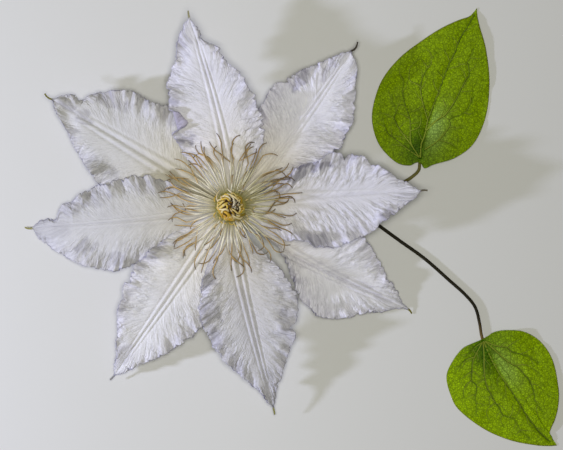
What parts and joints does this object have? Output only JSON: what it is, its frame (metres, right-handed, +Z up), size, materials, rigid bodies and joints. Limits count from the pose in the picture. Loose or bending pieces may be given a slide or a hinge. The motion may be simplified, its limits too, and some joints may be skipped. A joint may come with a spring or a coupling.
{
  "type": "clematis flower",
  "caption": "Open clematis flower lying face up: pointed white tepals, a whorl of stamens round curled styles, and a stalk with heart-shaped leaves.",
  "frame": {"origin": "on the surface under the middle of the flower, at the foot of its stalk", "axes": "+Z up through the flower's face, +X along the lying stem towards the leaves"},
  "size_m": [0.2135, 0.1752, 0.0253],
  "materials": {
    "tepals": "satin",
    "stamens": "matte",
    "styles": "satin",
    "stalk": "satin",
    "leaves": "satin"
  },
  "bodies": {
    "root": {"tepal_top": "tepals", "tepal_upper_right": "tepals", "tepal_right": "tepals", "tepal_lower_right": "tepals", "tepal_bottom": "tepals", "tepal_lower_left": "tepals", "tepal_left": "tepals", "tepal_upper_left": "tepals", "stamens": "stamens", "pistil": "styles", "stalk": "stalk", "leaf_upper": "leaves", "leaf_lower": "leaves"}
  },
  "joints": []
}
